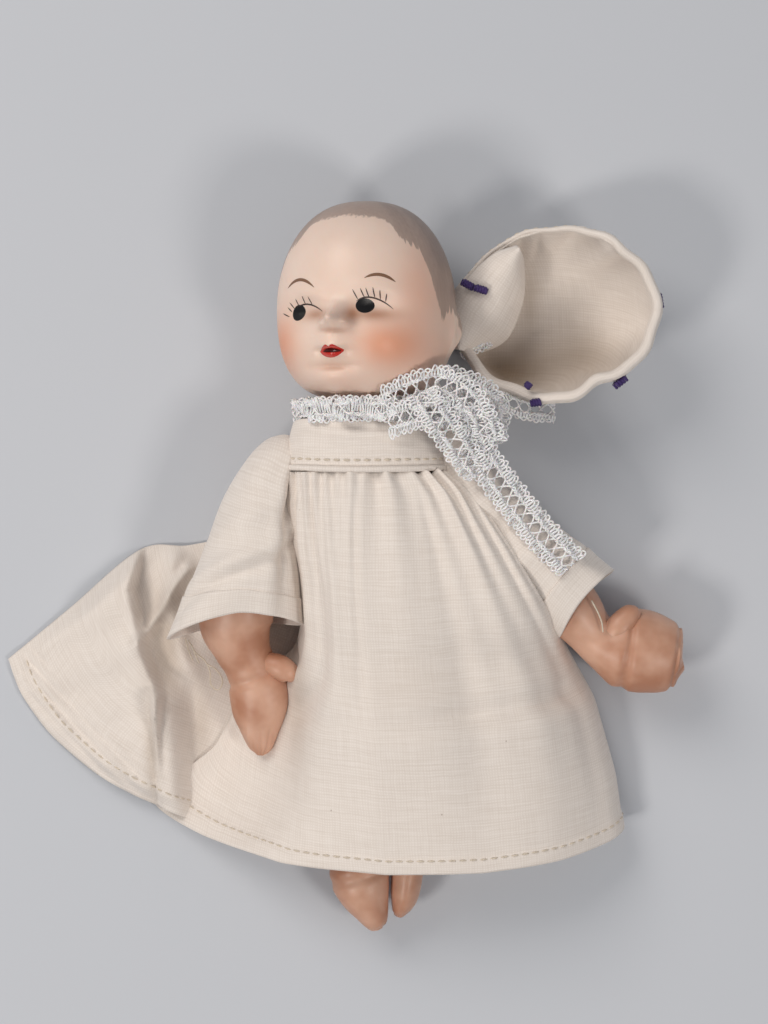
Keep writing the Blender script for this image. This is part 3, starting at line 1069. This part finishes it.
around = np.radians(np.linspace(-112, 112, 15))
pleat = np.array([0.9, -0.7] * 8)[:15]
neck_path = [(DOLL_X + (13.4 + p) * math.sin(a), 31.0 + 0.5 * math.cos(a), 17.6 + (12.2 + p) * math.cos(a))
             for a, p in zip(around, pleat)]
neck_across = [(0.25 * math.sin(a), 1, 0.25 * math.cos(a)) for a in around]
collar = lace("lace_collar_loops", [(neck_path, neck_across)], "body", 0.68, True)
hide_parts("lace_collar")

knot_strips = [
    ([(8.6, 32.4, 30.8), (14, 35.2, 31.0), (19.6, 36.6, 29.8), (25.4, 35.6, 27.6), (29.6, 32.6, 25.4)],
     [(-0.3, 1, 0.2), (-0.2, 1, 0.3), (0.1, 1, 0.3), (0.5, 0.8, 0.3), (0.9, 0.4, 0.2)]),
    ([(9.4, 28.8, 30.6), (15, 30.4, 31.8), (21, 30.6, 31.6), (26.6, 28.2, 29.6), (30.4, 24.6, 27.6)],
     [(-0.1, 1, 0), (0, 1, 0.2), (0.2, 1, 0.2), (0.5, 0.9, 0.1), (0.8, 0.5, 0)]),
    ([(15.6, 34.4, 32.2), (18.4, 30.2, 33.0), (21.6, 26.0, 31.4), (24.6, 22.0, 29.6), (27.4, 18.8, 28.4)],
     [(1, 0.5, 0.1), (1, 0.6, 0), (1, 0.7, 0), (1, 0.7, -0.1), (1, 0.7, -0.1)]),
    ([(18.6, 36.8, 30.4), (23.6, 34.4, 31.6), (27.2, 29.8, 30.6), (29.2, 25.0, 28.8)],
     [(0.5, 1, 0.2), (0.8, 0.8, 0.1), (1, 0.3, 0), (1, 0.1, 0)]),
    ([(26.8, 35.4, 24), (30.4, 31.8, 22), (30.0, 27.4, 24.4), (26.0, 25.0, 27.4)],
     [(0.6, 0.5, 0.8), (0.9, 0, 0.8), (0.8, -0.5, 0.6), (0.3, -1, 0.4)]),
]
knot = lace("lace_knot_loops", knot_strips, "body", 0.9)
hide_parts("lace_knot")

tail_path = [(25.4, 25.6, 28.8), (28.6, 20.6, 28.0), (32.4, 15.4, 26.6), (36.4, 10.4, 25.8),
             (40.8, 5.4, 25.0), (45.6, 0.9, 23.8)]
tail_across = [(0.75, 0.6, 0)] * 6
tail = lace("lace_tail_loops", [(tail_path, tail_across)], None, 0.95)
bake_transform(tail)
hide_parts("lace_tail")


# ---- Bonnet ----
# The baby bonnet lies open beside the head: one calico bowl, its brim turned in double and stitched, with
# the side next to the head folded down and in. Purple French knots are worked round the brim.

BONNET_AT = (44.0, 51.4)
BONNET_DEEP_AT = (37.0, 44.6)


def brim_reach(a):
    """Distance of the brim from the bonnet's middle at angle a in degrees, eased round the whole turn."""
    at = [-185, -162, -150, -131, -108, -93, -63, -31, -7, 5, 31, 63, 101, 134, 160, 175]
    reach = [21.4, 20.6, 20.2, 19.2, 18.5, 17.4, 15.9, 17.5, 18.9, 18.2, 17.6, 16.2, 16.6, 18.2, 19.9, 21.4]
    every = np.interp((np.arange(360) + 185) % 360 - 185, at, reach)
    kernel = np.hanning(23) / np.hanning(23).sum()
    eased = np.convolve(np.concatenate([every[-11:], every, every[:11]]), kernel, "valid")
    return np.interp(np.mod(a, 360), np.arange(361), np.append(eased, eased[0]))


def brim_height(a):
    """Height of the brim at angle a in degrees: high at the doll's left and foot side, low next to the
    head."""
    low = 0.5 + 0.5 * np.cos(np.radians(a - 172))
    return 22.6 - 13.5 * low ** 2.4 - 1.8 * np.exp(-(np.angle(np.exp(1j * np.radians(a - 100))) / 0.5) ** 2)


def bonnet_grid():
    """Rows run from the deepest point up to the brim, columns round it. The reach is sin(q)^0.5 and the
    height 1 - cos(q)^1.1, q going from 0 to a right angle, and soft dents are pushed in along the normal."""
    q = np.linspace(0.02, 1, 110)[:, None] * math.pi / 2
    a = np.linspace(0, 360, 200, endpoint=False)[None, :]
    turn = np.radians(a)
    share = np.sin(q) ** 0.5
    middle = [BONNET_DEEP_AT[i] + (BONNET_AT[i] - BONNET_DEEP_AT[i]) * share ** 1.4 for i in (0, 1)]
    reach = brim_reach(a) * share
    z = 0.7 + (brim_height(a) - 0.7) * (1 - np.maximum(np.cos(q), 0) ** 1.1)
    grid = np.stack([middle[0] + reach * np.cos(turn), middle[1] + reach * np.sin(turn), z], -1)
    high = smooth(0.25, 0.7, q / (math.pi / 2))

    def off(at):
        """Angle from at degrees to each turn, the short way round."""
        return np.angle(np.exp(1j * (turn - math.radians(at))))

    dents = (-1.4 * np.exp(-(off(112) / 0.10) ** 2) - 1.6 * np.exp(-(off(134) / 0.24) ** 2)
             + 0.9 * np.exp(-(off(78) / 0.16) ** 2) - 0.7 * np.exp(-(off(52) / 0.16) ** 2)
             + 0.8 * np.exp(-(off(20) / 0.2) ** 2) - 0.8 * np.exp(-(off(-104) / 0.12) ** 2)
             + 0.5 * np.sin(9 * turn + 2 * q))
    fade = high * (1 - 0.75 * smooth(0.86, 1, q / (math.pi / 2)))
    outward = np.stack([np.cos(turn) + 0 * q, np.sin(turn) + 0 * q, 0 * turn + 0 * q], -1)
    return grid + outward * (dents * fade)[..., None]


crown_grid = bonnet_grid()
crown_faces = grid_faces(110, 200, True).tolist() + [list(range(200))[::-1]]
bonnet_flat = np.stack([crown_grid[..., 0] + 0.5 * crown_grid[..., 2],
                        crown_grid[..., 1] + 0.4 * crown_grid[..., 2]], -1)
crown = make_mesh("bonnet_crown_cloth", crown_grid.reshape(-1, 3), crown_faces, calico, "bonnet",
                  bonnet_flat.reshape(-1, 2) / 10)
crown_wall = crown.modifiers.new("cloth_wall", "SOLIDIFY")
crown_wall.thickness = 0.5 * MM
crown_wall.offset = -1
age(crown, crown_grid, [((33, 39.5), (10, 5.5), 0.8), ((50, 42.5), (8, 6), 0.45), ((38, 55), (2.2, 7), 0.35)])
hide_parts("bonnet_crown")

# The brim is turned in twice, so it is a plump band 3 mm deep with a groove where it is stitched. It is
# pressed thin on the side folded down next to the head.
brim_a = np.linspace(0, 360, 240, endpoint=False)[None, :]
profile = np.array([(-1.15, -2.9), (-1.3, -1.4), (-1.15, -0.2), (-0.5, 0.45), (0.35, 0.35), (0.8, -0.4),
                    (0.6, -0.95),
                    (0.95, -1.6), (1.0, -2.4), (0.55, -3.1)])
profile = through(profile, 5)
brim_turn = np.radians(brim_a)
ruffle = 0.35 * np.sin(7 * brim_turn) + 0.25 * np.sin(13 * brim_turn + 1)
plump = 1 - 0.62 * np.exp(-(np.angle(np.exp(1j * (brim_turn - 2.1))) / 0.95) ** 2)
brim_r = brim_reach(brim_a) + plump * (profile[:, :1] + ruffle)
brim_z = brim_height(brim_a) + plump * profile[:, 1:]
brim_grid = np.stack([BONNET_AT[0] + brim_r * np.cos(brim_turn), BONNET_AT[1] + brim_r * np.sin(brim_turn),
                      brim_z + 0 * brim_r], -1)
brim = cloth("bonnet_brim_cloth", brim_grid[::-1], "bonnet", 0.3, around=True)
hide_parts("bonnet_rim")
sewn = 30
brim_out = np.stack([np.cos(brim_turn[0]), np.sin(brim_turn[0]), 0.4 + 0 * brim_turn[0]], -1)
loop = np.r_[:240, 0]
stitches("bonnet_brim_stitches", brim_grid[sewn, loop], "bonnet", 1.4, 2.1, ups=brim_out[loop])

# The lobe folded in next to the head: it follows the brim outside, swells, and rolls under at its inner edge
lobe_outer = through([(22.4, 44.0), (21.2, 49.0), (21.6, 53.8), (25.4, 58.4), (30.2, 62.8), (34.8, 64.4)], 12)
lobe_inner = through([(25.6, 43.4), (29.8, 44.0), (33.4, 46.2), (35.6, 50.4), (36.8, 55.4), (36.6, 61.8)], 12)
lobe_s = np.linspace(0, 1, 44)[:, None]
lobe_c = np.linspace(0, 1, len(lobe_outer))[None, :]
lobe_xy = lobe_outer[None] * (1 - lobe_s[..., None]) + lobe_inner[None] * lobe_s[..., None]
lobe_z = 10.2 + 7.0 * lobe_c ** 1.4 + 2.6 * np.sin(math.pi * lobe_s ** 0.8) - 3.6 * lobe_s ** 3
lobe_z = lobe_z + 0.45 * np.sin(9 * lobe_c + 4 * lobe_s) * lobe_s + 0.3 * np.sin(17 * lobe_c) * lobe_s
lobe_grid = np.concatenate([lobe_xy, lobe_z[..., None]], -1)
lobe = cloth("bonnet_lobe_cloth", lobe_grid[:, ::-1], "bonnet", 0.4)
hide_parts("bonnet_flap")

# Six-strand cotton floss wound twice round the needle; its strands lie side by side with a silky glint.
floss, tree, shader = new_material("purple_cotton_floss", Base_Color=linear("#3E2A68"), Roughness=0.55,
                                   Sheen_Weight=0.4, Sheen_Roughness=0.3)
place = add(tree, "ShaderNodeTexCoord")
strands = add(tree, "ShaderNodeTexWave", {"bands_direction": "DIAGONAL"}, Vector=place.outputs["Object"],
              Scale=1 / (1.1 * MM))
bump(tree, shader, strands.outputs["Fac"], 0.06)


def french_knot(at, lean, long, tall=0.5):
    """A coil of floss lying along the brim: a helix of radius tall, long millimetres from end to end."""
    t = np.linspace(0, 1, 60)
    turn = 2 * math.pi * max(3, round(long / 0.62)) * t
    along = (t - 0.5) * long
    x = at[0] + along * math.cos(lean) - tall * np.cos(turn) * math.sin(lean)
    y = at[1] + along * math.sin(lean) + tall * np.cos(turn) * math.cos(lean)
    z = at[2] + tall * np.sin(turn)
    return thread_tube(np.stack([x, y, z], -1), 0.36 * np.minimum(1, 6 * np.minimum(t, 1 - t) + 0.3), 8)


KNOTS = [((25.2, 56.6, 16.2), -0.5, 2.8), ((27.8, 55.6, 17.0), -0.3, 2.8), ((62.9, 53.0, 21.0), 1.75, 3.0),
         ((55.2, 37.0, 21.0), 0.65, 3.2), ((38.6, 33.0, 19.6), 0.1, 2.2), ((37.0, 36.4, 20.0), 0.9, 1.2)]
knots = [skin(f"french_knot_{i}", french_knot(*knot_at), floss, None) for i, knot_at in enumerate(KNOTS)]
with bpy.context.temp_override(active_object=knots[0], selected_editable_objects=knots):
    bpy.ops.object.join()
knots[0].name = "bonnet_knots_floss"
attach(knots[0], "bonnet")
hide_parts("bonnet_french_knots")

tie_strips = [([(29.6, 35.6, 13.4), (33.2, 33.6, 12.0), (37.6, 32.2, 11.6), (42.8, 31.8, 11.0)],
               [(0.3, 1, 0.2), (0.2, 1, 0.2), (0.1, 1, 0.1), (0, 1, 0.1)]),
              ([(23.6, 44.6, 9.4), (26.4, 45.6, 10.0), (29.6, 46.8, 9.6)],
               [(-0.3, 0.9, 0.3), (-0.3, 0.9, 0.3), (-0.3, 0.9, 0.3)])]
tie = lace("lace_bonnet_tie_loops", tie_strips, "bonnet", 0.7)
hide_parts("lace_bonnet_tie")
